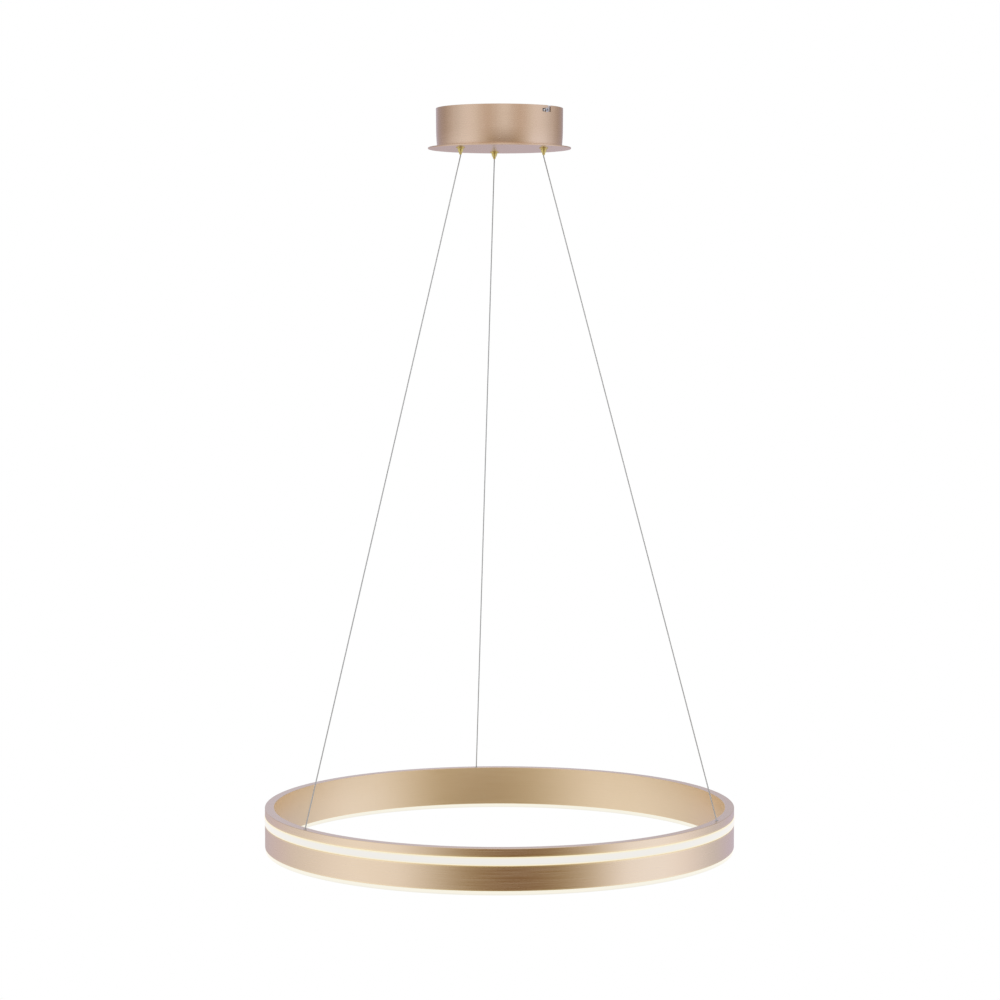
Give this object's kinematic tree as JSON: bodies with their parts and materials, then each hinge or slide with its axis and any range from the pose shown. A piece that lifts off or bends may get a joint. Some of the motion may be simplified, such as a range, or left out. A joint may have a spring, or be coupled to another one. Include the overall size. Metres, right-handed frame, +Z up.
{
  "type": "pendant light",
  "caption": "Thin metal ring pendant with an opal light line in its outer face and one underneath, hung on wires from a round ceiling canopy with wire grippers.",
  "frame": {"origin": "centre of the ceiling face of the mounting bracket", "axes": "+Z up out of the ceiling face, -Y towards the viewer of the picture, +X to their right"},
  "size_m": [0.6011, 0.6012, 0.9423],
  "materials": {
    "galvanised_steel": "dull zinc plated",
    "zinc_steel": "bright zinc plated",
    "satin_brass_canopy": "satin brass-coloured lacquer on spun steel",
    "satin_brass_ring": "satin brushed, brass-coloured anodised",
    "brass": "turned",
    "steel_ball": "polished",
    "wire_jacket": "clear jacket over steel wire",
    "opal_side": "opal extrusion, lit",
    "opal_bottom": "opal extrusion, lit",
    "driver_plastic": "moulded",
    "circuit_board": "coated laminate",
    "terminal_plastic": "moulded polyamide",
    "brown_lead": "lead sheath",
    "blue_lead": "lead sheath",
    "earth_lead": "lead sheath",
    "red_lead": "lead sheath",
    "led_tape": "white flexible circuit",
    "phosphor": "silicone bead with phosphor"
  },
  "bodies": {
    "bracket": {"ceiling_bracket": "galvanised_steel", "canopy_screws": "zinc_steel"},
    "canopy": {"canopy_housing": "satin_brass_canopy", "canopy_plate": "satin_brass_canopy", "gripper_nuts": "brass", "tail_connectors": "terminal_plastic", "driver_base": "driver_plastic", "driver_cover": "driver_plastic", "driver_board": "circuit_board", "driver_screws": "zinc_steel", "output_leads": "red_lead", "terminal_block": "terminal_plastic", "terminal_screws": "zinc_steel", "live_lead": "brown_lead", "neutral_lead": "blue_lead", "earth_lead": "earth_lead", "earth_stud": "brass", "earth_nut": "brass", "gripper_body_back": "brass", "gripper_cap_back": "brass", "gripper_spring_back": "zinc_steel", "wire_back": "wire_jacket", "wire_tail_back": "wire_jacket", "gripper_body_left": "brass", "gripper_cap_left": "brass", "gripper_spring_left": "zinc_steel", "wire_left": "wire_jacket", "wire_tail_left": "wire_jacket", "gripper_body_right": "brass", "gripper_cap_right": "brass", "gripper_spring_right": "zinc_steel", "wire_right": "wire_jacket", "wire_tail_right": "wire_jacket"},
    "ring": {"ring_profile": "satin_brass_ring", "ring_splice": "zinc_steel", "splice_screws": "zinc_steel", "side_diffuser": "opal_side", "bottom_diffuser": "opal_bottom", "side_led_tape": "led_tape", "side_led_bead": "phosphor", "bottom_led_tape": "led_tape", "bottom_led_bead": "phosphor", "anchor_bushes": "zinc_steel", "wire_stops": "zinc_steel", "ring_leads": "red_lead"},
    "release_back": {"plunger_back": "brass", "clamp_balls_back": "steel_ball"},
    "release_left": {"plunger_left": "brass", "clamp_balls_left": "steel_ball"},
    "release_right": {"plunger_right": "brass", "clamp_balls_right": "steel_ball"}
  },
  "joints": [
    {"name": "canopy_twist", "type": "hinge", "parent": "bracket", "child": "canopy", "pos_m": [0, 0, 0], "axis": [0, 0, 1], "range_deg": [-4.4, 3]},
    {"name": "ring_height", "type": "slide", "parent": "canopy", "child": "ring", "axis": [0, 0, 1], "range_m": [0, 0.5], "deforming": ["wire_back", "wire_left", "wire_right"]},
    {"name": "release_back", "type": "slide", "parent": "canopy", "child": "release_back", "axis": [0, 0, 1], "range_m": [0, 0.0015], "stiffness_N_per_m": 400, "springref_m": -0.002, "deforming": ["gripper_spring_back"]},
    {"name": "release_left", "type": "slide", "parent": "canopy", "child": "release_left", "axis": [0, 0, 1], "range_m": [0, 0.0015], "stiffness_N_per_m": 400, "springref_m": -0.002, "deforming": ["gripper_spring_left"]},
    {"name": "release_right", "type": "slide", "parent": "canopy", "child": "release_right", "axis": [0, 0, 1], "range_m": [0, 0.0015], "stiffness_N_per_m": 400, "springref_m": -0.002, "deforming": ["gripper_spring_right"]}
  ]
}
